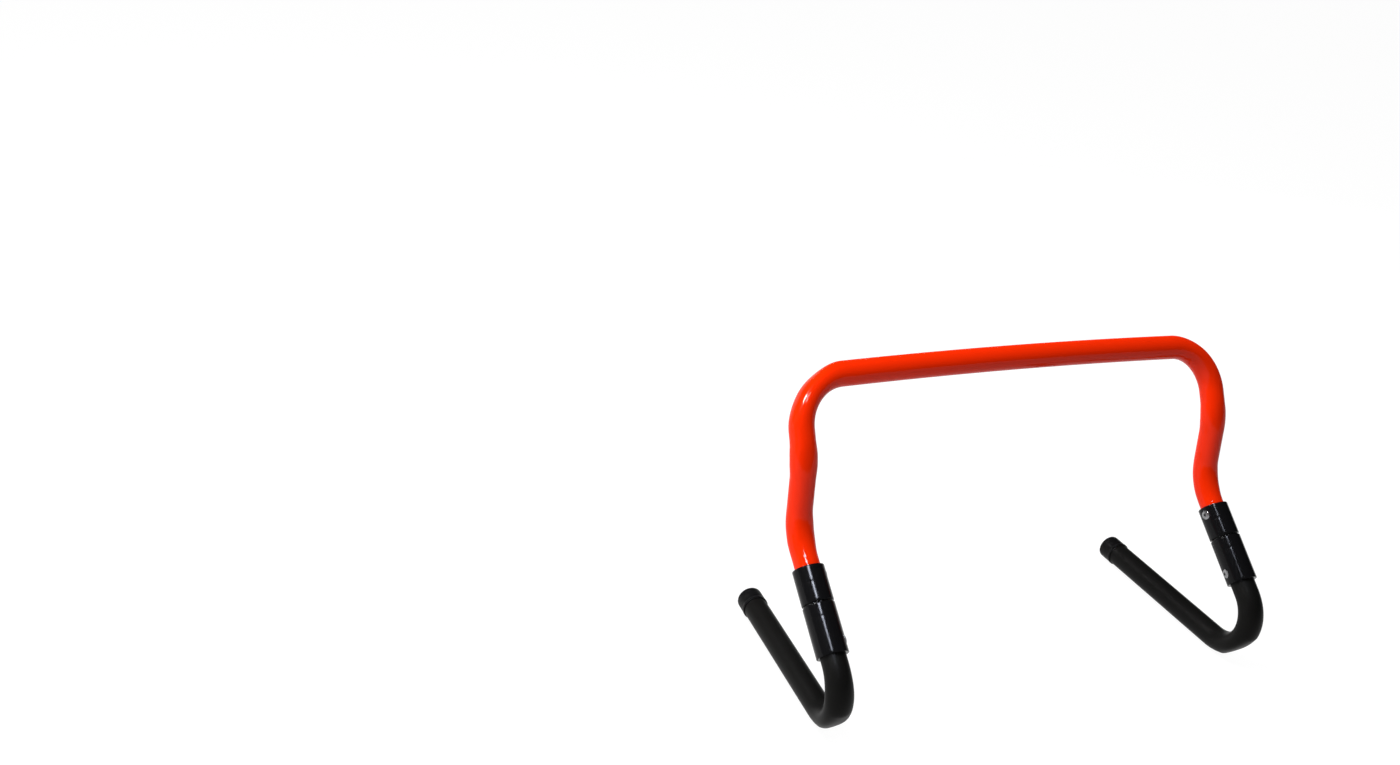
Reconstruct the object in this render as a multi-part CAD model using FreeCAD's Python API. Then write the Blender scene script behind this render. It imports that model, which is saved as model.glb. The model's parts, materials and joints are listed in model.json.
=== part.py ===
import FreeCAD, Part
import math
import os

# Agility hurdle: a bent tube frame that stands on two swivelling feet.
# Lengths are millimetres and angles are degrees.
# +X runs along the crossbar, +Y points to the capped ends of the feet, +Z is up.
# The origin is on the ground, under the middle of the whole hurdle.

# Tubes
TUBE_OD = 24.0
TUBE_WALL = 2.0

# Frame and legs. A lean is measured from straight down, and a positive lean tips the upper
# end of that run back, towards +Y.
LEG_SPACING = 478.0
CORNER_RADIUS = 48.0
BAR_END_SLOPE = 1.5
TOP_LEAN = 30.0
TOP_RUN = 9.0
UPPER_BEND_RADIUS = 88.0
MIDDLE_LEAN = 7.5
MIDDLE_RUN = 27.0
LOWER_BEND_RADIUS = 63.0
PIVOT_LEAN = 52.0
PIVOT_RUN = 98.0
FOOT_BEND_RADIUS = 38.0
FOOT_RUN = 175.0

# How far each foot is turned on its coupler at rest, anticlockwise seen from above. At 0 a foot
# lies square to the crossbar. The left foot's toe points a little inwards.
FOOT_TURN = {"left": -7.2, "right": 0.0}

# Swivel coupler, measured along its own axis. It starts below the leg's lower bend, and the
# left one is pushed further down.
COUPLER_OD = 30.0
COUPLER_LENGTH = 82.0
COUPLER_START = {"left": 10.0, "right": 4.0}
SEAM_FRACTION = 0.418
SEAM_GAP = 1.6
SEAM_CLEARANCE = 0.1
SEAM_ROUND = 1.0
MOUTH_ROUND = 1.2
WEB = 4.0
RING_OD = 26.0
RING_BORE_D = 12.0

# M6 pivot hardware
BOLT_D = 6.0
BOLT_HEAD_D = 12.0
BOLT_HEAD_H = 3.6
BOLT_HEAD_ROUND = 2.5
BOLT_SOCKET_AF = 4.0
BOLT_SOCKET_DEPTH = 2.2
BOLT_TIP_CHAMFER = 0.8
BOLT_TIP_STAND = 1.6
PIVOT_CLEARANCE = 0.06
WASHER_OD = 14.0
WASHER_T = 1.6
WASHER_BORE_D = 6.4
DISC_SPRING_OD = 14.0
DISC_SPRING_T = 0.8
DISC_SPRING_DISH = 0.7
NUT_AF = 10.0
NUT_H = 6.0
NUT_COLLAR_D = 8.6
NUT_HEX_H = 4.6

# Blind rivets
RIVET_D = 4.8
RIVET_HEAD_D = 9.4
RIVET_HEAD_H = 1.7
RIVET_SEAT_DEPTH = 0.9
RIVET_SEAT_D = 10.2
RIVET_BULB_D = 6.6
RIVET_BULB_H = 4.0
RIVET_BULB_ROUND = 0.8
RIVET_BULB_GAP = 0.05
MANDREL_D = 2.6
MANDREL_SINK = 0.5
MANDREL_BALL_D = 3.6
UPPER_RIVET_INSET = 8.0
LOWER_RIVET_INSET = 11.5

# How far each rivet is turned towards the front from pointing straight at the other leg
UPPER_RIVET_TURN = {"left": 6.0, "right": 6.0}
LOWER_RIVET_TURN = {"left": 21.0, "right": -12.0}

# End caps
CAP_OD = 26.0
CAP_SKIRT = 16.5
CAP_END = 2.8
CAP_ROUND = 2.6
CAP_SKIRT_ROUND = 0.5

TUBE_R = TUBE_OD / 2
TUBE_BORE_R = TUBE_R - TUBE_WALL

# A foot rises a little towards its cap, so that the cap and the bend both touch the ground.
FOOT_LEAN = -90 - math.degrees(math.asin((CAP_OD / 2 - TUBE_R) / (FOOT_RUN - CAP_SKIRT)))

# Heights on the coupler's axis, with the middle of the seam at 0 and the leg above it
UPPER_MOUTH = SEAM_FRACTION * COUPLER_LENGTH
LOWER_MOUTH = UPPER_MOUTH - COUPLER_LENGTH
SOCKET_FLOOR = SEAM_GAP / 2 + WEB
HEAD_SEAT = SOCKET_FLOOR + WASHER_T
NUT_TOP = -SOCKET_FLOOR - SEAM_CLEARANCE - DISC_SPRING_T - DISC_SPRING_DISH
BOLT_TIP = NUT_TOP - NUT_H - BOLT_TIP_STAND

# Distances from the coupler's axis, along a rivet
RIVET_SEAT = COUPLER_OD / 2 - RIVET_SEAT_DEPTH
BULB_TOP = math.sqrt(TUBE_BORE_R ** 2 - (RIVET_BULB_D / 2) ** 2) - RIVET_BULB_GAP

# How far a cutting solid runs past the face that it cuts
OVERCUT = 1.0

SIDES = {"left": -1, "right": 1}
X_AXIS = FreeCAD.Vector(1, 0, 0)
Z_AXIS = FreeCAD.Vector(0, 0, 1)


def heading(lean):
    """Unit direction of travel down a leg at this lean, in the leg's own Y-Z plane."""
    angle = math.radians(lean)
    return FreeCAD.Vector(0, -math.sin(angle), -math.cos(angle))


def bend_normal(lean):
    """Direction in which the heading turns as the lean grows."""
    angle = math.radians(lean)
    return FreeCAD.Vector(0, -math.cos(angle), math.sin(angle))


class Route:
    """A tube's centre line in a leg's plane: straight runs joined by tangent arcs."""

    def __init__(self, start, lean):
        self.point = start
        self.lean = lean
        self.edges = []

    def run(self, length):
        end = self.point + heading(self.lean) * length
        self.edges.append(Part.makeLine(self.point, end))
        self.point = end

    def bend(self, radius, lean):
        turn = 1 if lean > self.lean else -1
        centre = self.point + bend_normal(self.lean) * (turn * radius)
        middle = centre - bend_normal((self.lean + lean) / 2) * (turn * radius)
        end = centre - bend_normal(lean) * (turn * radius)
        self.edges.append(Part.Arc(self.point, middle, end).toShape())
        self.point = end
        self.lean = lean


def tube(edges):
    """A round tube swept along touching edges, in order."""
    path = Part.Wire(edges)
    start = path.OrderedVertexes[0].Point
    first = path.OrderedEdges[0]
    tangent = first.tangentAt(first.FirstParameter)
    solids = []
    for radius in (TUBE_R, TUBE_BORE_R):
        ring = Part.Wire(Part.makeCircle(radius, start, tangent))
        solids.append(path.makePipeShell([ring], True, False))
    return solids[0].cut(solids[1])


def circles_at(solid, height):
    """The circular edges of a turned solid that lie at this height."""
    circles = [edge for edge in solid.Edges if isinstance(edge.Curve, Part.Circle)]
    return [edge for edge in circles if abs(edge.Curve.Center.z - height) < 1e-6]


def rounded(solid, radius, height):
    """Round the circular edges of a turned solid at this height."""
    return solid.makeFillet(radius, circles_at(solid, height))


def cylinder(radius, low, high):
    """A cylinder on the Z axis between two heights."""
    return Part.makeCylinder(radius, high - low, FreeCAD.Vector(0, 0, low), Z_AXIS)


def turned(points):
    """A solid of revolution about Z from (radius, height) points."""
    corners = [FreeCAD.Vector(radius, 0, height) for radius, height in points]
    outline = Part.makePolygon(corners + corners[:1])
    return Part.Face(outline).revolve(FreeCAD.Vector(0, 0, 0), Z_AXIS, 360)


def hexagon(across_flats, low, high):
    """A hexagonal prism on the Z axis."""
    radius = across_flats / math.sqrt(3)
    corners = []
    for step in range(7):
        angle = math.radians(60 * step)
        corners.append(FreeCAD.Vector(radius * math.cos(angle), radius * math.sin(angle), low))
    return Part.Face(Part.makePolygon(corners)).extrude(FreeCAD.Vector(0, 0, high - low))


def bar_point(across, up):
    """A point in the tilted plane that holds the crossbar and both of its corners."""
    return FreeCAD.Vector(across, 0, 0) - heading(TOP_LEAN) * up


def corner(side):
    """The arc from the top of a leg to the end of the crossbar."""
    inset = LEG_SPACING / 2 - CORNER_RADIUS
    turn = 90 - BAR_END_SLOPE
    points = []
    for angle in (0, turn / 2, turn):
        across = inset + CORNER_RADIUS * math.cos(math.radians(angle))
        points.append(bar_point(side * across, CORNER_RADIUS * math.sin(math.radians(angle))))
    return Part.Arc(*points).toShape()


def crossbar_arc():
    """The slightly arched bar between the two corners."""
    slope = math.radians(BAR_END_SLOPE)
    inset = LEG_SPACING / 2 - CORNER_RADIUS
    arch_radius = inset / math.sin(slope) + CORNER_RADIUS
    end_across = arch_radius * math.sin(slope)
    end_up = CORNER_RADIUS * math.cos(slope)
    middle = bar_point(0, end_up + arch_radius * (1 - math.cos(slope)))
    return Part.Arc(bar_point(-end_across, end_up), middle, bar_point(end_across, end_up)).toShape()


def leg_routes(side_name):
    """The leg down to its socket, the pivot point on the seam, and the foot below it."""
    seam = COUPLER_START[side_name] + SEAM_FRACTION * COUPLER_LENGTH
    leg = Route(FreeCAD.Vector(SIDES[side_name] * LEG_SPACING / 2, 0, 0), TOP_LEAN)
    leg.run(TOP_RUN)
    leg.bend(UPPER_BEND_RADIUS, MIDDLE_LEAN)
    leg.run(MIDDLE_RUN)
    leg.bend(LOWER_BEND_RADIUS, PIVOT_LEAN)
    leg.run(seam - SOCKET_FLOOR)
    pivot = leg.point + heading(PIVOT_LEAN) * SOCKET_FLOOR
    foot = Route(pivot + heading(PIVOT_LEAN) * SOCKET_FLOOR, PIVOT_LEAN)
    foot.run(PIVOT_RUN - seam - SOCKET_FLOOR)
    foot.bend(FOOT_BEND_RADIUS, FOOT_LEAN)
    foot.run(FOOT_RUN)
    return leg, pivot, foot


def upper_sleeve():
    """Moulded socket on the leg, open upwards, with the bolt's hole in its floor."""
    sleeve = cylinder(COUPLER_OD / 2, SEAM_GAP / 2, UPPER_MOUTH)
    sleeve = rounded(sleeve, SEAM_ROUND, SEAM_GAP / 2)
    sleeve = rounded(sleeve, MOUTH_ROUND, UPPER_MOUTH)
    sleeve = sleeve.cut(cylinder(TUBE_R, SOCKET_FLOOR, UPPER_MOUTH + OVERCUT))
    return sleeve.cut(cylinder(BOLT_D / 2, 0, SOCKET_FLOOR + OVERCUT))


def lower_sleeve():
    """Moulded socket on the foot, open downwards, that turns on the bolt's shank."""
    sleeve = cylinder(COUPLER_OD / 2, LOWER_MOUTH, -SEAM_GAP / 2)
    sleeve = rounded(sleeve, SEAM_ROUND, -SEAM_GAP / 2)
    sleeve = rounded(sleeve, MOUTH_ROUND, LOWER_MOUTH)
    sleeve = sleeve.cut(cylinder(TUBE_R, LOWER_MOUTH - OVERCUT, -SOCKET_FLOOR))
    return sleeve.cut(cylinder(BOLT_D / 2 + PIVOT_CLEARANCE, -SOCKET_FLOOR - OVERCUT, 0))


def friction_ring():
    """Thrust ring in the seam; it stays with the leg and clears the foot's socket."""
    ring = cylinder(RING_OD / 2, SEAM_CLEARANCE - SEAM_GAP / 2, SEAM_GAP / 2)
    return ring.cut(cylinder(RING_BORE_D / 2, -SEAM_GAP, SEAM_GAP))


def pivot_washer():
    """Flat washer between the bolt's head and the floor of the upper socket."""
    washer = cylinder(WASHER_OD / 2, SOCKET_FLOOR, HEAD_SEAT)
    return washer.cut(cylinder(WASHER_BORE_D / 2, 0, HEAD_SEAT + OVERCUT))


def pivot_bolt():
    """Button-head screw whose shank is the swivel's axle."""
    top = HEAD_SEAT + BOLT_HEAD_H
    head = cylinder(BOLT_HEAD_D / 2, HEAD_SEAT, top)
    head = rounded(head, BOLT_HEAD_ROUND, top)
    head = head.cut(hexagon(BOLT_SOCKET_AF, top - BOLT_SOCKET_DEPTH, top + OVERCUT))
    shank = cylinder(BOLT_D / 2, BOLT_TIP, HEAD_SEAT)
    shank = shank.makeChamfer(BOLT_TIP_CHAMFER, circles_at(shank, BOLT_TIP))
    return head.fuse(shank).removeSplitter()


def disc_spring():
    """Conical spring washer that keeps the swivel stiff; its rim faces the lower socket."""
    rim = -SOCKET_FLOOR - SEAM_CLEARANCE
    bore = WASHER_BORE_D / 2
    return turned([
        (DISC_SPRING_OD / 2, rim),
        (DISC_SPRING_OD / 2, rim - DISC_SPRING_T),
        (bore, rim - DISC_SPRING_T - DISC_SPRING_DISH),
        (bore, rim - DISC_SPRING_DISH),
    ])


def lock_nut():
    """Hexagonal nut with a round locking collar at its lower end."""
    bottom = NUT_TOP - NUT_H
    nut = hexagon(NUT_AF, NUT_TOP - NUT_HEX_H, NUT_TOP)
    nut = nut.fuse(cylinder(NUT_COLLAR_D / 2, bottom, NUT_TOP - NUT_HEX_H))
    return nut.cut(cylinder(BOLT_D / 2, bottom - OVERCUT, NUT_TOP + OVERCUT))


def blind_rivet():
    """Dome-head rivet along Z, measured from the tube's axis, with its blind bulb inside."""
    radius = RIVET_HEAD_D / 2
    ball = (radius ** 2 + RIVET_HEAD_H ** 2) / (2 * RIVET_HEAD_H)
    dome = Part.makeSphere(ball, FreeCAD.Vector(0, 0, RIVET_SEAT + RIVET_HEAD_H - ball))
    head = dome.common(cylinder(radius, RIVET_SEAT, RIVET_SEAT + RIVET_HEAD_H))
    shank = cylinder(RIVET_D / 2, BULB_TOP, RIVET_SEAT)
    bulb = cylinder(RIVET_BULB_D / 2, BULB_TOP - RIVET_BULB_H, BULB_TOP)
    bulb = rounded(bulb, RIVET_BULB_ROUND, BULB_TOP - RIVET_BULB_H)
    body = head.fuse([shank, bulb]).removeSplitter()
    return body.cut(cylinder(MANDREL_D / 2, 0, RIVET_SEAT + RIVET_HEAD_H + OVERCUT))


def rivet_mandrel():
    """The broken-off pin left inside a blind rivet, with its ball on the blind side."""
    top = RIVET_SEAT + RIVET_HEAD_H - MANDREL_SINK
    low = BULB_TOP - RIVET_BULB_H
    ball = MANDREL_BALL_D / 2
    head = Part.makeSphere(ball, FreeCAD.Vector(0, 0, low)).common(cylinder(ball, low - ball, low))
    return head.fuse(cylinder(MANDREL_D / 2, low, top)).removeSplitter()


def rivet_hole():
    """The hole through a sleeve and its tube, with the flat seat for the rivet's head."""
    hole = cylinder(RIVET_D / 2, TUBE_BORE_R - TUBE_WALL, COUPLER_OD)
    return hole.fuse(cylinder(RIVET_SEAT_D / 2, RIVET_SEAT, COUPLER_OD))


def end_cap():
    """Push-on cap, with its closed end towards +Z and its floor on the tube's end at Z 0."""
    cap = cylinder(CAP_OD / 2, -CAP_SKIRT, CAP_END)
    cap = rounded(cap, CAP_ROUND, CAP_END)
    cap = rounded(cap, CAP_SKIRT_ROUND, -CAP_SKIRT)
    return cap.cut(cylinder(TUBE_R, -CAP_SKIRT - OVERCUT, 0))


def moved(shape, placement):
    """A copy of the shape at this placement."""
    return shape.transformed(placement.toMatrix(), True)


def rivet_place(side, height, turn):
    """Placement that points a rivet at the other leg, then turns it towards the front."""
    across = FreeCAD.Rotation(FreeCAD.Vector(0, 1, 0), -90 * side)
    forwards = FreeCAD.Rotation(Z_AXIS, turn * side)
    return FreeCAD.Placement(FreeCAD.Vector(0, 0, height), forwards.multiply(across))


def side_parts(side_name):
    """All the pieces of one leg below the crossbar tube, and what that tube needs there."""
    side = SIDES[side_name]
    leg, pivot, foot = leg_routes(side_name)
    coupler = FreeCAD.Placement(pivot, FreeCAD.Rotation(X_AXIS, -PIVOT_LEAN))
    cap = FreeCAD.Placement(foot.point, FreeCAD.Rotation(X_AXIS, 180 - FOOT_LEAN))
    foot_turn = FreeCAD.Rotation(-heading(PIVOT_LEAN), FOOT_TURN[side_name])
    swivel = FreeCAD.Placement(FreeCAD.Vector(0, 0, 0), foot_turn, pivot)
    upper_turn = UPPER_RIVET_TURN[side_name]
    lower_turn = LOWER_RIVET_TURN[side_name]
    upper_rivet = rivet_place(side, UPPER_MOUTH - UPPER_RIVET_INSET, upper_turn)
    lower_rivet = rivet_place(side, LOWER_MOUTH + LOWER_RIVET_INSET, lower_turn)
    upper_hole = moved(rivet_hole(), upper_rivet)
    lower_hole = moved(rivet_hole(), lower_rivet)
    on_leg = {
        "coupler_upper": upper_sleeve().cut(upper_hole),
        "friction_ring": friction_ring(),
        "pivot_washer": pivot_washer(),
        "pivot_bolt": pivot_bolt(),
        "disc_spring": disc_spring(),
        "lock_nut": lock_nut(),
        "upper_rivet": moved(blind_rivet(), upper_rivet),
        "upper_rivet_mandrel": moved(rivet_mandrel(), upper_rivet),
    }
    on_foot = {
        "coupler_lower": moved(lower_sleeve().cut(lower_hole), coupler),
        "foot_tube": tube(foot.edges).cut(moved(lower_hole, coupler)),
        "end_cap": moved(end_cap(), cap),
        "lower_rivet": moved(blind_rivet(), coupler.multiply(lower_rivet)),
        "lower_rivet_mandrel": moved(rivet_mandrel(), coupler.multiply(lower_rivet)),
    }
    parts = {name: moved(shape, coupler) for name, shape in on_leg.items()}
    parts.update({name: moved(shape, swivel) for name, shape in on_foot.items()})
    named = {name + "_" + side_name: shape for name, shape in parts.items()}
    return named, leg.edges, moved(upper_hole, coupler)


def hurdle():
    """Every node of the hurdle, with its ground contact at Z 0 and its box centred on Z."""
    left_parts, left_leg, left_hole = side_parts("left")
    right_parts, right_leg, right_hole = side_parts("right")
    bent = left_leg[::-1] + [corner(-1), crossbar_arc(), corner(1)] + right_leg
    nodes = {"crossbar_tube": tube(bent).cut([left_hole, right_hole])}
    nodes.update(left_parts)
    nodes.update(right_parts)
    box = Part.makeCompound(list(nodes.values())).optimalBoundingBox(False, False)
    shift = FreeCAD.Vector(0, -(box.YMin + box.YMax) / 2, -box.ZMin)
    for shape in nodes.values():
        shape.translate(shift)
    return nodes


os.makedirs("parts", exist_ok=True)
for name, shape in hurdle().items():
    shape.exportStep("parts/" + name + ".step")
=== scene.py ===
"""Looks of the agility hurdle: bent orange frame, black swivel couplers and satin black feet.

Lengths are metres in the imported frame: +X along the crossbar, +Y towards the feet's caps, +Z up.
"""

import json
import math

import bpy
from mathutils import Matrix, Vector


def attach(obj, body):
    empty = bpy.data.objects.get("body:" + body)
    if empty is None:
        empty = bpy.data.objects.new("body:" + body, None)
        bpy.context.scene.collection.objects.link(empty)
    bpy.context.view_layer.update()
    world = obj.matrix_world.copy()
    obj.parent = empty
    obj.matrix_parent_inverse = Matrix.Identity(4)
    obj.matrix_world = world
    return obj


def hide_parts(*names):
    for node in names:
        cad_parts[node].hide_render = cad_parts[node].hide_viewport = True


MM = 0.001
SIDES = {"left": -1, "right": 1}

# Tubes, with the CAD model's dimensions. A lean is measured from straight down, and the pivot run
# is the straight stretch from the leg's lower bend, through the coupler, to the foot's bend.
TUBE_R = 12.0 * MM
TUBE_WALL = 2.0 * MM
LEG_SPACING = 478.0 * MM
CORNER_RADIUS = 48.0 * MM
BAR_END_SLOPE = math.radians(1.5)
TOP_LEAN = math.radians(30.0)
TOP_RUN = 9.0 * MM
UPPER_BEND_RADIUS = 88.0 * MM
MIDDLE_LEAN = math.radians(7.5)
MIDDLE_RUN = 27.0 * MM
LOWER_BEND_RADIUS = 63.0 * MM
PIVOT_LEAN = math.radians(52.0)
PIVOT_RUN = 98.0 * MM
FOOT_BEND_RADIUS = 38.0 * MM
FOOT_RUN = 175.0 * MM

# How far each foot is turned on its coupler at rest, anticlockwise seen from above
FOOT_TURN = {"left": math.radians(-7.2), "right": 0.0}

# Swivel coupler. Its start is how far down the straight end of the leg its upper mouth is. Each
# sleeve's heights are measured away from the middle of the seam, up or down the axis as way says.
COUPLER_R = 15.0 * MM
COUPLER_START = {"left": 10.0 * MM, "right": 4.0 * MM}
SLEEVES = {
    "upper": {"way": 1, "mouth": 34.276 * MM, "witness_ring": 19.0 * MM, "hole_r": 3.0 * MM},
    "lower": {"way": -1, "mouth": 47.724 * MM, "witness_ring": 13.5 * MM, "hole_r": 3.06 * MM},
}
SEAM_HALF = 0.8 * MM
SOCKET_FLOOR = 4.8 * MM
SEAM_ROUND = 0.7 * MM
MOUTH_ROUND = 0.35 * MM
MOUTH_INNER_ROUND = 0.3 * MM
WITNESS_LINE_DEPTH = 0.035 * MM
WITNESS_LINE_WIDTH = 0.5 * MM
PARTING_LINE_AT = math.radians(97.0)
PARTING_LINE_DEPTH = 0.05 * MM
PARTING_LINE_HALF = math.radians(0.9)

# Blind rivets, with heights measured out from the tube's axis
RIVET_SEAT = 14.1 * MM
RIVET_SEAT_R = 5.1 * MM
RIVET_HEAD_R = 4.7 * MM
RIVET_HEAD_H = 1.7 * MM
RIVET_HEAD_ROUND = 0.12 * MM
RIVET_RIM = 0.45 * MM
RIVET_R = 2.4 * MM
RIVET_INNER = 9.39 * MM
RIVET_BULB_R = 3.3 * MM
RIVET_BULB_H = 4.0 * MM
RIVET_BULB_ROUND = 0.8 * MM
RIVET_LIP_R = 1.75 * MM
RIVET_BORE_R = 1.3 * MM
RIVET_BORE_SINK = 0.35 * MM
RIVET_BORE_ROUND = 0.15 * MM
RIVET_AT = {"upper": 26.276 * MM, "lower": -36.224 * MM}
RIVET_TURN = {
    "upper": {"left": math.radians(6.0), "right": math.radians(6.0)},
    "lower": {"left": math.radians(21.0), "right": math.radians(-12.0)},
}

# How far the cutters run past a rivet's seat and inner end, and past the inner end in a sleeve
CUTTER_REACH = 3.0 * MM
SLEEVE_CUTTER_REACH = 1.5 * MM

# End caps, with the floor on the tube's end at 0
CAP_R = 13.0 * MM
CAP_BODY_R = 12.75 * MM
CAP_LIP = 2.4 * MM
CAP_LIP_STEP = 0.4 * MM
CAP_SKIRT = 16.5 * MM
CAP_END = 2.8 * MM
CAP_ROUND = 2.6 * MM
CAP_MOUTH_ROUND = 0.5 * MM
CAP_EDGE_ROUND = 0.15 * MM

# How far a bend departs from a round tube: shares of the tube's radius. A flat is a stretch of the
# bend, as shares of its angle, whose outside is straight, and how much of the flat is there.
CORNER_SHAPE = {
    "left": {"outer": 0.28, "inner": 0.03, "wide": 0.05, "flats": ()},
    "right": {"outer": 0.10, "inner": 0.03, "wide": 0.05, "flats": ()},
}
LEG_SHAPE = {"outer": 0.04, "inner": 0.02, "wide": 0.09, "flats": ()}
FOOT_SHAPE = {
    "outer": 0.0,
    "inner": 0.13,
    "wide": 0.13,
    "flats": ((0.45, 0.82, 0.65), (0.82, 1.0, 0.4)),
}
ROUND_SHAPE = {"outer": 0.0, "inner": 0.0, "wide": 0.0, "flats": ()}
SHAPE_RAMP = 0.38

# How fine the meshes are
RING_POINTS = 72
TURNED_POINTS = 96
BEND_STEP = math.radians(2.5)
LEAST_BEND_STEPS = 8
RUN_STEP = 5.0 * MM
WALL_STEP = 2.5 * MM
ROUND_STEPS = 5
DOME_STEPS = 9
SHARP_ANGLE = math.radians(32)
ON_AXIS = 1e-7

# Camera at the photograph's viewing angle
CAMERA_AT = Vector((-0.9014, -1.0312, 0.8683))
CAMERA_AZIMUTH = math.radians(27.503)
CAMERA_DOWN = math.radians(25.14)
CAMERA_ROLL = math.radians(7.94)
CAMERA_LENS = 40.0
SENSOR_WIDTH = 36.0

# Floor and room
FLOOR_RADIUS = 40.0
FLOOR_GLOW = 0.95
BOUNCE_DROP = 1.0 * MM
ROOM_STRENGTH = 0.27
EVEN_WHITE = (1.0, 1.0, 1.0, 1.0)


# ---------------------------------------------------------------- directions and small helpers


def down_leg(lean):
    """Direction of travel down a leg whose lean is measured from straight down."""
    return Vector((0, -math.sin(lean), -math.cos(lean)))


def bend_normal(lean):
    """Direction in which the way down turns as the lean grows."""
    return Vector((0, -math.cos(lean), math.sin(lean)))


def smooth(value):
    """0 to 1 with flat ends."""
    value = min(max(value, 0.0), 1.0)
    return value * value * (3 - 2 * value)


def mirrored(vector):
    return Vector((-vector.x, vector.y, vector.z))


# ---------------------------------------------------------------- bent tubes


class Station:
    """One ring of a tube: centre, travel, the side that a bend stretches, and its flattening."""

    def __init__(self, centre, travel, outer, flattening=(0.0, 0.0, 0.0)):
        self.centre = centre
        self.travel = travel
        self.outer = outer
        self.flattening = flattening

    def mirrored(self):
        """The same station on the other side of the hurdle, travelling the other way."""
        travel = -mirrored(self.travel)
        return Station(mirrored(self.centre), travel, mirrored(self.outer), self.flattening)


def flattening(shape, share, turn, radius):
    """How far a bend's section is flattened outside, inside and widened at a share of its turn."""
    ease = smooth(min(share, 1 - share) / SHAPE_RAMP)
    outer = shape["outer"] * ease
    for start, end, strength in shape["flats"]:
        if start < share < end:
            half = turn * (end - start) / 2
            off = turn * (share - (start + end) / 2)
            inset = (radius + TUBE_R) * (1 - math.cos(half) / math.cos(off))
            outer += strength * inset / TUBE_R
    return outer, shape["inner"] * ease, shape["wide"] * ease


class Route:
    """Stations along straight runs and tangent arcs."""

    def __init__(self, point, travel):
        self.point = point.copy()
        self.travel = travel.normalized()
        self.outer = Vector((1, 0, 0))
        self.stations = [Station(self.point, self.travel, self.outer)]

    def run(self, length):
        steps = max(2, round(length / RUN_STEP))
        start = self.point
        for step in range(1, steps + 1):
            self.point = start + self.travel * (length * step / steps)
            self.stations.append(Station(self.point, self.travel, self.outer))

    def bend(self, radius, turn, inwards, shape=ROUND_SHAPE, steps=None):
        """Turns by an angle towards inwards, a unit vector square to the travel."""
        steps = steps or max(LEAST_BEND_STEPS, round(turn / BEND_STEP))
        centre = self.point + inwards * radius
        travel = self.travel
        for step in range(1, steps + 1):
            share = step / steps
            angle = turn * share
            self.outer = travel * math.sin(angle) - inwards * math.cos(angle)
            self.point = centre + self.outer * radius
            self.travel = travel * math.cos(angle) + inwards * math.sin(angle)
            section = flattening(shape, share, turn, radius)
            self.stations.append(Station(self.point, self.travel, self.outer, section))
        return -self.outer


def section_point(station, direction, radius):
    """Where a tube's wall lies in this direction: round on a run, flatter outside in a bend."""
    outer, inner, wide = station.flattening
    across = direction.dot(station.outer)
    sideways = direction - station.outer * across
    share = across * (1 - outer * across ** 2) if across > 0 else across * (1 - inner)
    return station.centre + (station.outer * share + sideways * (1 + wide)) * radius


def tube_mesh(name, stations):
    """A hollow tube along the stations, open at both ends; part_space is its unrolled place."""
    axis = stations[0].travel
    reference = Vector((1, 0, 0)) - axis * axis.x
    reference.normalize()
    vertices, places, rings = [], [], []
    along = 0.0
    previous = stations[0].centre
    for station in stations:
        along += (station.centre - previous).length
        previous = station.centre
        reference = (reference - station.travel * reference.dot(station.travel)).normalized()
        other = station.travel.cross(reference)
        ring = []
        for radius in (TUBE_R, TUBE_R - TUBE_WALL):
            loop = []
            for point in range(RING_POINTS):
                angle = 2 * math.pi * point / RING_POINTS
                direction = reference * math.cos(angle) + other * math.sin(angle)
                loop.append(len(vertices))
                vertices.append(section_point(station, direction, radius))
                places.append((along, radius * math.cos(angle), radius * math.sin(angle)))
            ring.append(loop)
        rings.append(ring)
    faces = []
    for here, there in zip(rings, rings[1:]):
        for point in range(RING_POINTS):
            following = (point + 1) % RING_POINTS
            faces.append((here[0][point], here[0][following], there[0][following], there[0][point]))
            faces.append((here[1][following], here[1][point], there[1][point], there[1][following]))
    for ring, flip in ((rings[0], False), (rings[-1], True)):
        for point in range(RING_POINTS):
            following = (point + 1) % RING_POINTS
            face = (ring[0][point], ring[1][point], ring[1][following], ring[0][following])
            faces.append(tuple(reversed(face)) if flip else face)
    return finished_mesh(name, vertices, faces, places)


def finished_mesh(name, vertices, faces, places):
    """A smooth mesh with sharp true edges and its part_space attribute."""
    mesh = bpy.data.meshes.new(name)
    mesh.from_pydata([tuple(vertex) for vertex in vertices], [], faces)
    attribute = mesh.attributes.new("part_space", "FLOAT_VECTOR", "POINT")
    attribute.data.foreach_set("vector", [value for place in places for value in place])
    mesh.polygons.foreach_set("use_smooth", [True] * len(mesh.polygons))
    mesh.set_sharp_from_angle(angle=SHARP_ANGLE)
    mesh.update()
    return mesh


def seam_down_leg(side_name):
    """How far down the straight end of a leg the middle of its coupler's seam is."""
    return COUPLER_START[side_name] + SLEEVES["upper"]["mouth"]


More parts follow.
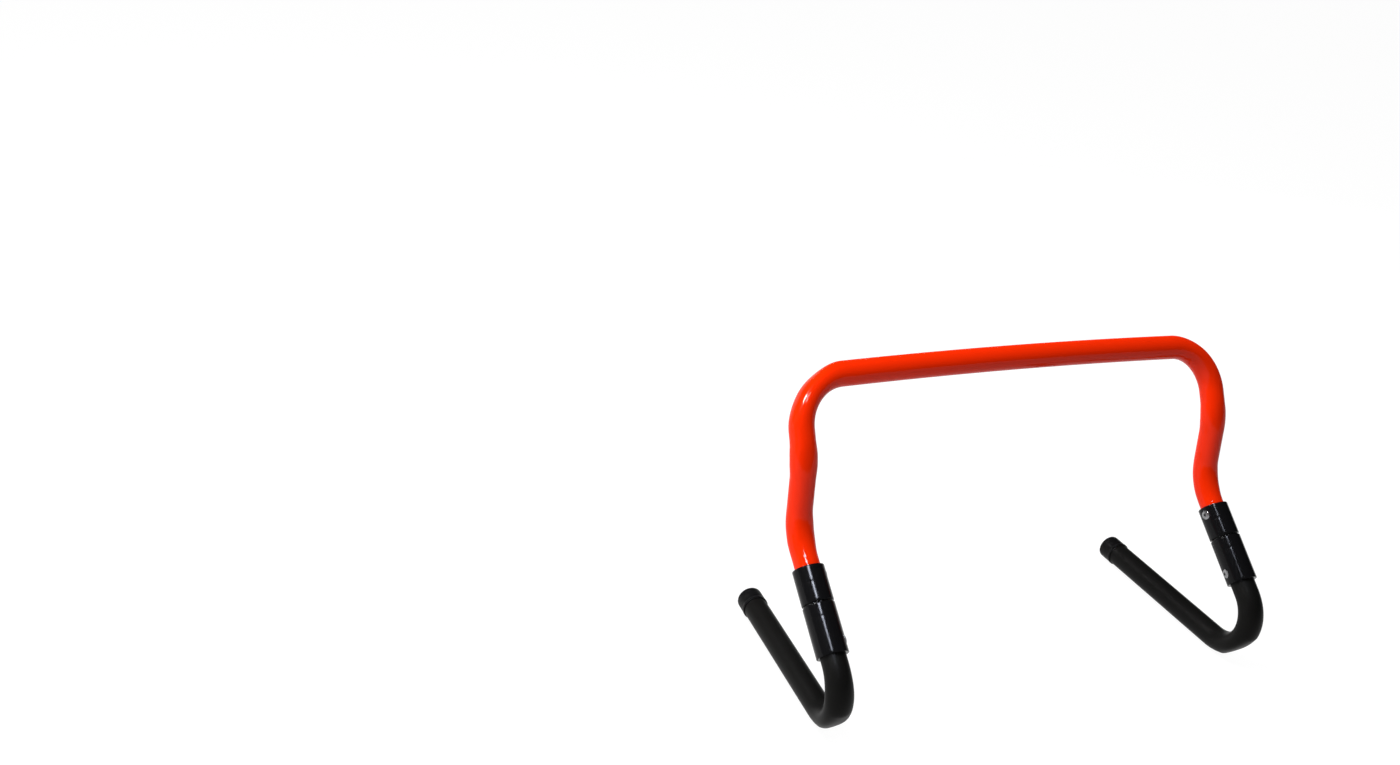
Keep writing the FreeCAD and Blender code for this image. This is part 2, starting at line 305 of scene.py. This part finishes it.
def leg_stations(side_name, pivot):
    """A leg from its socket's floor up to the middle of the crossbar, as if it were the left."""
    up = -down_leg(PIVOT_LEAN)
    start = Vector((-abs(pivot.x), pivot.y, pivot.z))
    route = Route(start + up * SOCKET_FLOOR, up)
    route.run(seam_down_leg(side_name) - SOCKET_FLOOR)
    route.bend(LOWER_BEND_RADIUS, PIVOT_LEAN - MIDDLE_LEAN, bend_normal(PIVOT_LEAN), LEG_SHAPE)
    route.run(MIDDLE_RUN)
    route.bend(UPPER_BEND_RADIUS, TOP_LEAN - MIDDLE_LEAN, -bend_normal(MIDDLE_LEAN), LEG_SHAPE)
    route.run(TOP_RUN)
    quarter = math.pi / 2 - BAR_END_SLOPE
    inwards = route.bend(CORNER_RADIUS, quarter, Vector((1, 0, 0)), CORNER_SHAPE[side_name])
    arch_radius = (LEG_SPACING / 2 - CORNER_RADIUS) / math.sin(BAR_END_SLOPE) + CORNER_RADIUS
    half_bar_steps = round(arch_radius * BAR_END_SLOPE / RUN_STEP)
    route.bend(arch_radius, BAR_END_SLOPE, inwards, ROUND_SHAPE, half_bar_steps)
    return route.stations


def foot_route(side_name, pivot):
    """A foot from its socket's floor to the cap, before it is turned on its coupler.

    It rises a little along its run, because it rests on its bend and on the wider mouth of its cap.
    """
    down = down_leg(PIVOT_LEAN)
    route = Route(pivot + down * SOCKET_FLOOR, down)
    route.run(PIVOT_RUN - seam_down_leg(side_name) - SOCKET_FLOOR)
    rise = math.asin((CAP_R - TUBE_R) / (FOOT_RUN - CAP_SKIRT))
    turn = math.pi / 2 + PIVOT_LEAN + rise
    route.bend(FOOT_BEND_RADIUS, turn, -bend_normal(PIVOT_LEAN), FOOT_SHAPE)
    route.run(FOOT_RUN)
    return route


# ---------------------------------------------------------------- turned pieces


def neighbours(points, closed):
    """Each point with the one after it, and the last with the first where the line is closed."""
    return list(zip(points, points[1:] + points[:1])) if closed else list(zip(points, points[1:]))


def rounded_corner(before, here, after, fillet):
    """Points of the arc that rounds the corner at here, between two neighbouring corners."""
    back = before - here
    onwards = after - here
    half = back.angle(onwards) / 2
    first = here + back.normalized() * (fillet / math.tan(half))
    inwards = (back.normalized() + onwards.normalized()).normalized()
    middle = here + inwards * (fillet / math.sin(half))
    start = first - middle
    sweep = math.pi - 2 * half
    if back.normalized().cross(onwards.normalized()) > 0:
        sweep = -sweep
    points = []
    for step in range(ROUND_STEPS + 1):
        angle = sweep * step / ROUND_STEPS
        points.append(middle + Vector((
            start.x * math.cos(angle) - start.y * math.sin(angle),
            start.x * math.sin(angle) + start.y * math.cos(angle),
        )))
    return points


def outline(corners, closed):
    """Points of a turned section from (radius, height, round) corners, walls split into steps."""
    count = len(corners)
    points = []
    for index, (radius, height, fillet) in enumerate(corners):
        here = Vector((radius, height))
        is_end = not closed and index in (0, count - 1)
        if fillet <= 0 or is_end:
            points.append(here)
            continue
        before = Vector(corners[index - 1][:2])
        after = Vector(corners[(index + 1) % count][:2])
        points += rounded_corner(before, here, after, fillet)
    split = []
    for here, there in neighbours(points, closed):
        steps = max(1, round((there - here).length / WALL_STEP))
        for step in range(steps):
            split.append(here.lerp(there, step / steps))
    if not closed:
        split.append(points[-1])
    return split


def turned_mesh(name, points, closed, place, angles=None, relief=None):
    """Turns an outline about its height axis; relief adds to the radius by radius and angle."""
    angles = angles or [2 * math.pi * step / TURNED_POINTS for step in range(TURNED_POINTS)]
    count = len(angles)
    vertices, places, rows = [], [], []
    for radius, height in points:
        if radius < ON_AXIS:
            rows.append([len(vertices)] * count)
            vertices.append(place @ Vector((0, 0, height)))
            places.append((height, 0, 0))
            continue
        row = []
        for angle in angles:
            wall = radius + (relief(radius, angle) if relief else 0.0)
            spot = Vector((wall * math.cos(angle), wall * math.sin(angle), height))
            row.append(len(vertices))
            vertices.append(place @ spot)
            places.append((height, spot.x, spot.y))
        rows.append(row)
    faces = []
    for here, there in neighbours(rows, closed):
        for step in range(count):
            following = (step + 1) % count
            face = (here[step], here[following], there[following], there[step])
            faces.append(tuple(dict.fromkeys(face)))
    mesh = finished_mesh(name, vertices, faces, places)
    if volume_of(mesh) < 0:
        mesh.flip_normals()
    return mesh


def volume_of(mesh):
    """Signed volume, which is negative while the faces look inwards."""
    mesh.calc_loop_triangles()
    corners = [vertex.co for vertex in mesh.vertices]
    total = 0.0
    for triangle in mesh.loop_triangles:
        a, b, c = (corners[index] for index in triangle.vertices)
        total += a.dot(b.cross(c))
    return total / 6


def apart(first, second):
    """How far two directions round an axis are from each other."""
    return abs(math.remainder(first - second, 2 * math.pi))


def turned_angles(extra):
    """Evenly spaced angles, with a close group round each extra one for a fine line."""
    angles = [2 * math.pi * step / TURNED_POINTS for step in range(TURNED_POINTS)]
    group = [share * PARTING_LINE_HALF for share in (-1, -0.5, 0, 0.5, 1)]
    for middle in extra:
        near = 2 * PARTING_LINE_HALF
        angles = [angle for angle in angles if apart(angle, middle) > near]
        angles += [(middle + offset) % (2 * math.pi) for offset in group]
    return sorted(angles)


def sleeve_mesh(name, where, place):
    """A moulded socket with rounded ends, a faint witness ring and two parting lines."""
    sleeve = SLEEVES[where]
    ring_at = sleeve["witness_ring"]
    ring_half = WITNESS_LINE_WIDTH / 2
    corners = [
        (sleeve["hole_r"], SEAM_HALF, 0),
        (COUPLER_R, SEAM_HALF, SEAM_ROUND),
        (COUPLER_R, ring_at - ring_half, 0),
        (COUPLER_R - WITNESS_LINE_DEPTH, ring_at, 0),
        (COUPLER_R, ring_at + ring_half, 0),
        (COUPLER_R, sleeve["mouth"], MOUTH_ROUND),
        (TUBE_R, sleeve["mouth"], MOUTH_INNER_ROUND),
        (TUBE_R, SOCKET_FLOOR, 0),
        (sleeve["hole_r"], SOCKET_FLOOR, 0),
    ]
    points = [Vector((point.x, point.y * sleeve["way"])) for point in outline(corners, True)]
    parting_lines = (PARTING_LINE_AT, PARTING_LINE_AT + math.pi)
    outside = COUPLER_R - 1.5 * WITNESS_LINE_DEPTH

    def relief(radius, angle):
        if radius < outside:
            return 0.0
        nearest = min(apart(angle, line) for line in parting_lines)
        return -PARTING_LINE_DEPTH * smooth(1 - nearest / PARTING_LINE_HALF)

    return turned_mesh(name, points, True, place, turned_angles(parting_lines), relief)


def rivet_matrix(coupler, side_name, where):
    """Placement of a rivet: its own +Z points out through the sleeve at the other leg."""
    side = SIDES[side_name]
    outwards = Matrix.Rotation(math.radians(-90) * side, 4, "Y")
    turned = Matrix.Rotation(RIVET_TURN[where][side_name] * side, 4, "Z")
    return coupler @ Matrix.Translation((0, 0, RIVET_AT[where])) @ turned @ outwards


def rivet_mesh(name, place):
    """Dome head with a thin rim, a bore that shows the broken pin, and the bulb inside."""
    dome_height = RIVET_HEAD_H - RIVET_RIM
    ball = (RIVET_HEAD_R ** 2 + dome_height ** 2) / (2 * dome_height)
    top = RIVET_SEAT + RIVET_HEAD_H
    dome = []
    for step in range(DOME_STEPS + 1):
        radius = RIVET_HEAD_R + (RIVET_LIP_R - RIVET_HEAD_R) * step / DOME_STEPS
        dome.append((radius, top - ball + math.sqrt(ball ** 2 - radius ** 2), 0))
    corners = [
        (RIVET_BORE_R, RIVET_INNER - RIVET_BULB_H, 0),
        (RIVET_BULB_R, RIVET_INNER - RIVET_BULB_H, RIVET_BULB_ROUND),
        (RIVET_BULB_R, RIVET_INNER, 0),
        (RIVET_R, RIVET_INNER, 0),
        (RIVET_R, RIVET_SEAT, 0),
        (RIVET_HEAD_R, RIVET_SEAT, RIVET_HEAD_ROUND),
        *dome,
        (RIVET_BORE_R, top - RIVET_BORE_SINK, RIVET_BORE_ROUND),
    ]
    return turned_mesh(name, outline(corners, True), True, place)


def cap_mesh(name, place):
    """Push-on cap: a rounded closed end, a thin body and a thicker lip round its mouth."""
    corners = [
        (0, CAP_END, 0),
        (CAP_BODY_R, CAP_END, CAP_ROUND),
        (CAP_BODY_R, CAP_LIP + CAP_LIP_STEP - CAP_SKIRT, 0),
        (CAP_R, CAP_LIP - CAP_SKIRT, CAP_EDGE_ROUND),
        (CAP_R, -CAP_SKIRT, CAP_MOUTH_ROUND),
        (TUBE_R, -CAP_SKIRT, CAP_EDGE_ROUND),
        (TUBE_R, 0, 0),
        (0, 0, 0),
    ]
    return turned_mesh(name, outline(corners, False), False, place)


def cutter(place, radius, low, high):
    """A temporary cylinder along a placement's +Z."""
    corners = [(0, low, 0), (radius, low, 0), (radius, high, 0), (0, high, 0)]
    mesh = turned_mesh("cutter", outline(corners, False), False, place)
    piece = bpy.data.objects.new("cutter", mesh)
    bpy.context.scene.collection.objects.link(piece)
    return piece


def drilled(mesh, cutters):
    """The mesh with the cutters taken away, which are then deleted."""
    piece = bpy.data.objects.new("drilled", mesh)
    bpy.context.scene.collection.objects.link(piece)
    for tool in cutters:
        modifier = piece.modifiers.new("cut", "BOOLEAN")
        modifier.operation = "DIFFERENCE"
        modifier.solver = "EXACT"
        modifier.object = tool
    graph = bpy.context.evaluated_depsgraph_get()
    made = bpy.data.meshes.new_from_object(
        piece.evaluated_get(graph), preserve_all_data_layers=True, depsgraph=graph
    )
    made.name = mesh.name
    for tool in [piece, *cutters]:
        old = tool.data
        bpy.data.objects.remove(tool)
        bpy.data.meshes.remove(old)
    made.polygons.foreach_set("use_smooth", [True] * len(made.polygons))
    made.set_sharp_from_angle(angle=SHARP_ANGLE)
    return made


def tube_cutters(place):
    """What a rivet needs cut out of a tube's wall: its hole."""
    return [cutter(place, RIVET_R, RIVET_INNER - CUTTER_REACH, RIVET_SEAT)]


def sleeve_cutters(place):
    """What a rivet needs cut out of a sleeve: its hole and the flat seat under its head."""
    top = RIVET_SEAT + CUTTER_REACH
    return [
        cutter(place, RIVET_R, RIVET_INNER - SLEEVE_CUTTER_REACH, top),
        cutter(place, RIVET_SEAT_R, RIVET_SEAT, top),
    ]


# ---------------------------------------------------------------- materials


class Finish:
    """A material under construction: a Principled shader and the nodes that vary it."""

    def __init__(self, name, coordinates="part_space", **values):
        self.material = bpy.data.materials.new(name)
        self.material.use_nodes = True
        self.tree = self.material.node_tree
        self.tree.nodes.clear()
        self.shader = self.node("ShaderNodeBsdfPrincipled")
        output = self.node("ShaderNodeOutputMaterial")
        self.link(self.shader.outputs["BSDF"], output.inputs["Surface"])
        for socket, value in values.items():
            self.shader.inputs[socket.replace("_", " ")].default_value = value
        if coordinates == "part_space":
            source = self.node("ShaderNodeAttribute", attribute_name="part_space")
            self.place = source.outputs["Vector"]
        else:
            self.place = self.node("ShaderNodeTexCoord").outputs["Object"]
        self.normal = None

    def node(self, kind, **settings):
        made = self.tree.nodes.new(kind)
        for key, value in settings.items():
            setattr(made, key, value)
        return made

    def link(self, source, target):
        self.tree.links.new(source, target)

    def stretched(self, scale):
        """The surface's place with a scale of its own along each axis."""
        mapping = self.node("ShaderNodeMapping")
        mapping.inputs["Scale"].default_value = scale
        self.link(self.place, mapping.inputs["Vector"])
        return mapping.outputs["Vector"]

    def noise(self, scale=1.0, detail=2.0, roughness=0.5, stretch=None):
        made = self.node("ShaderNodeTexNoise")
        made.inputs["Scale"].default_value = scale
        made.inputs["Detail"].default_value = detail
        made.inputs["Roughness"].default_value = roughness
        self.link(self.stretched(stretch) if stretch else self.place, made.inputs["Vector"])
        return made.outputs["Fac"]

    def cells(self, scale):
        made = self.node("ShaderNodeTexVoronoi")
        made.inputs["Scale"].default_value = scale
        self.link(self.place, made.inputs["Vector"])
        return made.outputs["Distance"]

    def ramp(self, source, low, high, out_low=0.0, out_high=1.0):
        """Spreads a source's values from low to high over the output's range, and clamps them."""
        made = self.node("ShaderNodeMapRange")
        ranges = {"From Min": low, "From Max": high, "To Min": out_low, "To Max": out_high}
        for socket, value in ranges.items():
            made.inputs[socket].default_value = value
        self.link(source, made.inputs["Value"])
        return made.outputs["Result"]

    def math(self, operation, *values):
        made = self.node("ShaderNodeMath", operation=operation)
        for socket, value in zip(made.inputs, values):
            if isinstance(value, (int, float)):
                socket.default_value = value
            else:
                self.link(value, socket)
        return made.outputs["Value"]

    def mix(self, factor, first, second):
        """Colour mix; first and second are colours or outputs."""
        made = self.node("ShaderNodeMix", data_type="RGBA")
        self.link(factor, made.inputs["Factor"])
        for socket, value in ((made.inputs[6], first), (made.inputs[7], second)):
            if isinstance(value, tuple):
                socket.default_value = (*value, 1.0)
            else:
                self.link(value, socket)
        return made.outputs[2]

    def bump(self, source, distance):
        """Adds relief of this height to what the earlier calls made."""
        made = self.node("ShaderNodeBump")
        made.inputs["Distance"].default_value = distance
        made.inputs["Strength"].default_value = 1.0
        self.link(source, made.inputs["Height"])
        if self.normal is not None:
            self.link(self.normal, made.inputs["Normal"])
        self.normal = made.outputs["Normal"]
        self.link(self.normal, self.shader.inputs["Normal"])

    def colour(self, source):
        self.link(source, self.shader.inputs["Base Color"])

    def roughness(self, source):
        self.link(source, self.shader.inputs["Roughness"])


def scratches(finish, stretch, amount):
    """A sparse mask of hairlines inside soft patches."""
    lines = finish.noise(detail=3.0, roughness=0.6, stretch=stretch)
    patches = finish.noise(38.0)
    both = finish.math("MULTIPLY", finish.ramp(lines, 0.66, 0.72), finish.ramp(patches, 0.5, 0.62))
    return finish.math("MULTIPLY", both, amount)


def roughened(finish, gloss, worn, amount):
    """The gloss, made rougher by an amount where it is worn."""
    return finish.math("ADD", gloss, finish.math("MULTIPLY", worn, amount))


def orange_plastic():
    """Glossy orange-red skin: slight tone and gloss drift, orange peel, a few hairlines."""
    deep = (0.81, 0.020, 0.0004)
    bright = (0.89, 0.026, 0.0006)
    fleck = (0.93, 0.036, 0.001)
    scratched = (0.95, 0.14, 0.04)
    finish = Finish("orange_gloss", Coat_Weight=0.19, Coat_Roughness=0.05, Specular_IOR_Level=0.02)
    base = finish.mix(finish.ramp(finish.noise(22.0, detail=3.0), 0.35, 0.65), deep, bright)
    base = finish.mix(finish.ramp(finish.noise(2600.0), 0.45, 0.75, 0.0, 0.35), base, fleck)
    worn = scratches(finish, (30.0, 1500.0, 1500.0), 0.35)
    finish.colour(finish.mix(worn, base, scratched))
    gloss = finish.ramp(finish.noise(70.0, detail=3.0), 0.3, 0.7, 0.2, 0.28)
    finish.roughness(roughened(finish, gloss, worn, 0.5))
    finish.bump(finish.noise(420.0), 0.006 * MM)
    finish.bump(worn, 0.03 * MM)
    return finish.material


def coupler_plastic():
    """Glossy moulded black with faint flow marks, handling haze and hairlines."""
    dark = (0.004, 0.004, 0.0046)
    pale = (0.0065, 0.0065, 0.0072)
    scratched = (0.06, 0.06, 0.062)
    finish = Finish("coupler_gloss", Specular_IOR_Level=0.1)
    flow = finish.noise(60.0, detail=4.0, roughness=0.6, stretch=(0.5, 1.0, 1.0))
    base = finish.mix(finish.ramp(flow, 0.35, 0.7), dark, pale)
    worn = scratches(finish, (60.0, 900.0, 900.0), 0.5)
    finish.colour(finish.mix(worn, base, scratched))
    haze = finish.ramp(finish.noise(130.0, detail=4.0, roughness=0.6), 0.35, 0.7, 0.15, 0.18)
    finish.roughness(roughened(finish, haze, worn, 0.6))
    finish.bump(finish.noise(180.0), 0.004 * MM)
    finish.bump(worn, 0.01 * MM)
    return finish.material


def foot_plastic():
    """Satin black tube: drawn grain along it, fine matte texture and pale rub marks."""
    dark = (0.0042, 0.0042, 0.0041)
    pale = (0.0076, 0.0074, 0.007)
    rubbed = (0.07, 0.068, 0.064)
    finish = Finish("foot_satin", Specular_IOR_Level=0.045)
    tone = finish.noise(30.0, detail=4.0, roughness=0.6)
    base = finish.mix(finish.ramp(tone, 0.3, 0.7), dark, pale)
    worn = scratches(finish, (50.0, 700.0, 700.0), 0.6)
    finish.colour(finish.mix(worn, base, rubbed))
    satin = finish.ramp(finish.noise(90.0, detail=4.0, roughness=0.6), 0.3, 0.7, 0.34, 0.46)
    finish.roughness(roughened(finish, satin, worn, 0.3))
    finish.bump(finish.noise(stretch=(15.0, 650.0, 650.0)), 0.05 * MM)
    finish.bump(finish.noise(2400.0), 0.02 * MM)
    return finish.material


def cap_plastic():
    """Softer black cap with a fine spark-eroded grain and dust in its texture."""
    clean = (0.004, 0.004, 0.0043)
    dusty = (0.012, 0.0117, 0.0113)
    finish = Finish("cap_satin", Specular_IOR_Level=0.06)
    dust = finish.ramp(finish.noise(160.0, detail=4.0, roughness=0.65), 0.52, 0.8)
    finish.colour(finish.mix(dust, clean, dusty))
    finish.roughness(finish.ramp(finish.noise(240.0, detail=3.0), 0.3, 0.7, 0.36, 0.50))
    finish.bump(finish.cells(1900.0), 0.04 * MM)
    finish.bump(finish.noise(500.0), 0.04 * MM)
    return finish.material


def ring_nylon():
    """Dull black thrust ring, rubbed in places."""
    dark = (0.004, 0.004, 0.004)
    pale = (0.012, 0.012, 0.012)
    finish = Finish("ring_nylon", "object", Specular_IOR_Level=0.3)
    rub = finish.noise(700.0, detail=3.0)
    finish.colour(finish.mix(finish.ramp(rub, 0.4, 0.7), dark, pale))
    finish.roughness(finish.ramp(rub, 0.3, 0.7, 0.55, 0.75))
    finish.bump(rub, 0.04 * MM)
    return finish.material


def metal(name, bright, dark, smoothest, roughest, scale):
    """Bare or plated metal: tone and roughness drift with a fine grain."""
    finish = Finish(name, "object", Metallic=1.0)
    drift = finish.noise(scale, detail=4.0, roughness=0.6)
    finish.colour(finish.mix(finish.ramp(drift, 0.35, 0.75), bright, dark))
    grain = finish.noise(scale * 2.3, detail=3.0)
    finish.roughness(finish.ramp(grain, 0.3, 0.7, smoothest, roughest))
    finish.bump(finish.noise(scale * 3.0), 0.03 * MM)
    return finish.material


def rivet_aluminium():
    """Grey dome head, turned rings on it, and painted shade round the hole in its middle."""
    bright = (0.29, 0.29, 0.30)
    dark = (0.17, 0.17, 0.175)
    # Painted shade: the dome is darkened in colour near its bore, as if the hole shaded it
    painted_bore_shade = (0.02, 0.02, 0.019)
    bore_shade_r = 1.4 * MM
    unshaded_r = 2.0 * MM
    radians_per_metre = 9000.0
    finish = Finish("rivet_aluminium", Metallic=0.75)
    drift = finish.noise(900.0, detail=4.0, roughness=0.6)
    base = finish.mix(finish.ramp(drift, 0.35, 0.75), bright, dark)
    axes = finish.node("ShaderNodeSeparateXYZ")
    finish.link(finish.place, axes.inputs["Vector"])
    squares = [finish.math("POWER", axes.outputs[axis], 2.0) for axis in ("Y", "Z")]
    radius = finish.math("SQRT", finish.math("ADD", *squares))
    # The colour darkens towards the bore: painted shade, not dirt
    finish.colour(finish.mix(finish.ramp(radius, bore_shade_r, unshaded_r), painted_bore_shade, base))
    finish.roughness(finish.ramp(finish.noise(2100.0, detail=3.0), 0.3, 0.7, 0.2, 0.32))
    rings = finish.math("SINE", finish.math("MULTIPLY", radius, radians_per_metre))
    finish.bump(rings, 0.008 * MM)
    return finish.material


METALS = {
    # The mandrel's steel is near black: painted shade for the pin sunk at the bottom of the rivet's bore
    "mandrel_steel": {
        "bright": (0.07, 0.07, 0.072),
        "dark": (0.02, 0.019, 0.018),
        "smoothest": 0.4,
        "roughest": 0.6,
        "scale": 1500.0,
    },
    "zinc_steel": {
        "bright": (0.68, 0.69, 0.72),
        "dark": (0.46, 0.47, 0.5),
        "smoothest": 0.22,
        "roughest": 0.4,
        "scale": 500.0,
    },
    "spring_steel": {
        "bright": (0.30, 0.30, 0.31),
        "dark": (0.15, 0.14, 0.13),
        "smoothest": 0.3,
        "roughest": 0.5,
        "scale": 500.0,
    },
}
MATERIALS = {
    "orange_tube": orange_plastic(),
    "coupler_black": coupler_plastic(),
    "foot_black": foot_plastic(),
    "cap_black": cap_plastic(),
    "ring_nylon": ring_nylon(),
    "rivet_aluminium": rivet_aluminium(),
    **{name: metal(name, **facts) for name, facts in METALS.items()},
}


# ---------------------------------------------------------------- pieces


def add_piece(mesh, name, node, body, slot):
    """Shows a mesh in place of a CAD node, riding on that node's body."""
    mesh.materials.clear()
    mesh.materials.append(MATERIALS[slot])
    piece = bpy.data.objects.new(name, mesh)
    bpy.context.scene.collection.objects.link(piece)
    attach(piece, body)
    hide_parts(node)


def coupler_matrix(pivot):
    """Placement of a coupler: its own +Z points up its leaning axis from the middle of the seam."""
    return Matrix.Translation(pivot) @ Matrix.Rotation(-PIVOT_LEAN, 4, "X")


def build_crossbar_tube(pivots):
    """The one bent tube that is both legs and the bar, drilled for its two rivets."""
    left_half = leg_stations("left", pivots["left"])
    right_half = leg_stations("right", pivots["right"])
    stations = left_half + [station.mirrored() for station in reversed(right_half[:-1])]
    mesh = tube_mesh("crossbar_tube", stations)
    cutters = []
    for side_name in SIDES:
        cutters += tube_cutters(rivet_matrix(coupler_matrix(pivots[side_name]), side_name, "upper"))
    add_piece(drilled(mesh, cutters), "bent_crossbar_tube", "crossbar_tube", "frame", "orange_tube")


def build_sleeve(side_name, where, body, coupler):
    """One sleeve of a coupler and its rivet."""
    place = rivet_matrix(coupler, side_name, where)
    sleeve = drilled(sleeve_mesh("sleeve", where, coupler), sleeve_cutters(place))
    name = "moulded_sleeve_" + where + "_" + side_name
    add_piece(sleeve, name, "coupler_" + where + "_" + side_name, body, "coupler_black")
    rivet = rivet_mesh("rivet", place)
    name = "dome_rivet_" + where + "_" + side_name
    add_piece(rivet, name, where + "_rivet_" + side_name, body, "rivet_aluminium")


def build_foot(side_name, body, pivot, turned_coupler):
    """One bent foot tube, drilled for its rivet, and the cap on its end."""
    swivel = turned_coupler @ coupler_matrix(pivot).inverted()
    route = foot_route(side_name, pivot)
    mesh = tube_mesh("foot_tube", route.stations)
    mesh.transform(swivel)
    tube = drilled(mesh, tube_cutters(rivet_matrix(turned_coupler, side_name, "lower")))
    name = "bent_foot_tube_" + side_name
    add_piece(tube, name, "foot_tube_" + side_name, body, "foot_black")
    along = route.travel.to_track_quat("Z", "X").to_matrix().to_4x4()
    cap = cap_mesh("cap", swivel @ Matrix.Translation(route.point) @ along)
    name = "push_cap_" + side_name
    add_piece(cap, name, "end_cap_" + side_name, body, "cap_black")


def build_side(side_name, pivot):
    """The coupler, rivets, foot and cap of one leg."""
    foot_body = side_name + "_foot"
    coupler = coupler_matrix(pivot)
    turned_coupler = coupler @ Matrix.Rotation(FOOT_TURN[side_name], 4, "Z")
    build_sleeve(side_name, "upper", "frame", coupler)
    build_sleeve(side_name, "lower", foot_body, turned_coupler)
    build_foot(side_name, foot_body, pivot, turned_coupler)


def paint_cad_nodes(frame):
    """Gives every CAD node that still shows the material of its record slot."""
    slots = {part["node"]: part["material_slot"] for part in frame["record"]["subparts"]}
    for name, node in frame["nodes"].items():
        if node.hide_render:
            continue
        if not node.material_slots:
            node.data.materials.append(MATERIALS[slots[name]])
        for slot in node.material_slots:
            slot.material = MATERIALS[slots[name]]


# ---------------------------------------------------------------- stage, light and camera


def stage_plane(name, height, colour, roughness, glow):
    """A round plane under the hurdle, which isn't part of it."""
    radius_line = [Vector((0, height)), Vector((FLOOR_RADIUS, height))]
    mesh = turned_mesh(name, radius_line, False, Matrix.Identity(4))
    if mesh.polygons[0].normal.z < 0:
        mesh.flip_normals()
    material = bpy.data.materials.new(name)
    material.use_nodes = True
    shader = material.node_tree.nodes["Principled BSDF"]
    shader.inputs["Base Color"].default_value = (*colour, 1.0)
    shader.inputs["Roughness"].default_value = roughness
    shader.inputs["Specular IOR Level"].default_value = 0.1
    shader.inputs["Emission Color"].default_value = EVEN_WHITE
    shader.inputs["Emission Strength"].default_value = glow
    mesh.materials.append(material)
    plane = bpy.data.objects.new(name, mesh)
    bpy.context.scene.collection.objects.link(plane)
    return plane


def build_stage():
    """A pale floor for the camera and for reflections, and a greyer one for diffuse light."""
    floor = stage_plane("pale_floor", 0.0, (0.10, 0.10, 0.10), roughness=0.8, glow=FLOOR_GLOW)
    floor.visible_diffuse = False
    floor.visible_shadow = False
    bounce = stage_plane("floor_bounce", -BOUNCE_DROP, (0.34, 0.33, 0.32), roughness=1.0, glow=0.0)
    bounce.visible_camera = False
    bounce.visible_glossy = False
    bounce.visible_shadow = False


def aimed(location, target):
    """World matrix of a light or camera at a point, looking at a target."""
    turn = (target - location).to_track_quat("-Z", "Y").to_matrix().to_4x4()
    return Matrix.Translation(location) @ turn


def softbox(name, location, target, side, radiance, spread=math.pi):
    """A square light; radiance is its brightness along its axis, whatever its spread."""
    data = bpy.data.lights.new(name, "AREA")
    data.shape = "RECTANGLE"
    data.size = side
    data.size_y = side
    data.energy = radiance * math.pi * side * side
    if spread < math.pi:
        data.spread = spread
        data.energy *= 1 - spread / 2 / math.tan(spread / 2)
    light = bpy.data.objects.new(name, data)
    bpy.context.scene.collection.objects.link(light)
    light.matrix_world = aimed(Vector(location), Vector(target))
    return light


def build_lights():
    """Broad lights for the colours, which no surface mirrors, and two lamps for the streaks."""
    middle = (0.0, 0.0, 0.2)
    for name, location, side, radiance in (
        ("top_light", (-0.87, 0.32, 2.19), 0.8, 23.0),
        ("back_light", (0.6, 1.6, 0.25), 1.2, 9.5),
        ("left_light", (-1.5, 0.45, 0.35), 0.6, 6.3),
        ("front_left_fill", (-1.12, -0.41, 0.3), 0.6, 2.8),
    ):
        softbox(name, location, middle, side, radiance).visible_glossy = False
    middle_of_left_leg = (-0.239, -0.01, 0.19)
    narrow = math.radians(19.5)
    key = softbox("key", (-1.18, -0.82, 2.34), middle_of_left_leg, 0.58, 150.0, narrow)
    key.data.color = (0.80, 0.85, 1.0)
    top_of_left_leg = (-0.239, 0.05, 0.24)
    wide = math.radians(28)
    second = softbox("second_lamp", (-1.52, 0.40, 1.69), top_of_left_leg, 0.5, 240.0, wide)
    for lamp in (key, second):
        lamp.visible_diffuse = False


def build_room():
    """Even light from all round, which no surface mirrors, and plain colours."""
    world = bpy.data.worlds.new("room")
    world.use_nodes = True
    background = world.node_tree.nodes["Background"]
    background.inputs["Color"].default_value = EVEN_WHITE
    background.inputs["Strength"].default_value = ROOM_STRENGTH
    world.cycles_visibility.glossy = False
    bpy.context.scene.world = world
    bpy.context.scene.view_settings.view_transform = "Standard"


def build_camera():
    """The photograph's view: from the front left, above, and slightly rolled."""
    level = Vector((math.cos(CAMERA_AZIMUTH), -math.sin(CAMERA_AZIMUTH), 0))
    ahead = Vector((
        math.sin(CAMERA_AZIMUTH) * math.cos(CAMERA_DOWN),
        math.cos(CAMERA_AZIMUTH) * math.cos(CAMERA_DOWN),
        -math.sin(CAMERA_DOWN),
    ))
    upright = level.cross(ahead)
    right = level * math.cos(CAMERA_ROLL) + upright * math.sin(CAMERA_ROLL)
    up = right.cross(ahead)
    data = bpy.data.cameras.new("camera")
    data.lens = CAMERA_LENS
    data.sensor_width = SENSOR_WIDTH
    camera = bpy.data.objects.new("camera", data)
    bpy.context.scene.collection.objects.link(camera)
    turn = Matrix((right, up, -ahead)).transposed().to_4x4()
    camera.matrix_world = Matrix.Translation(CAMERA_AT) @ turn
    bpy.context.scene.camera = camera


# ---------------------------------------------------------------- the scene

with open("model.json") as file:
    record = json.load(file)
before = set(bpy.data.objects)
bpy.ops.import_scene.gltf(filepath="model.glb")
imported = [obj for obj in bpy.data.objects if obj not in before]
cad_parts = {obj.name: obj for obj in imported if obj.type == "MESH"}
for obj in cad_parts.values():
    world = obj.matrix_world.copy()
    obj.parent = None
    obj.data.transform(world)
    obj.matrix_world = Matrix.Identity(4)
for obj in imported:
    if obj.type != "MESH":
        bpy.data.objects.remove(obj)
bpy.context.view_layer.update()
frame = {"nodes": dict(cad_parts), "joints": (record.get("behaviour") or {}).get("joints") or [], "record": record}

pivots = {joint["name"].split("_")[0]: Vector(joint["pos_m"]) for joint in frame["joints"]}
build_crossbar_tube(pivots)
for side_name in SIDES:
    build_side(side_name, pivots[side_name])
paint_cad_nodes(frame)

build_stage()
build_lights()
build_room()
build_camera()
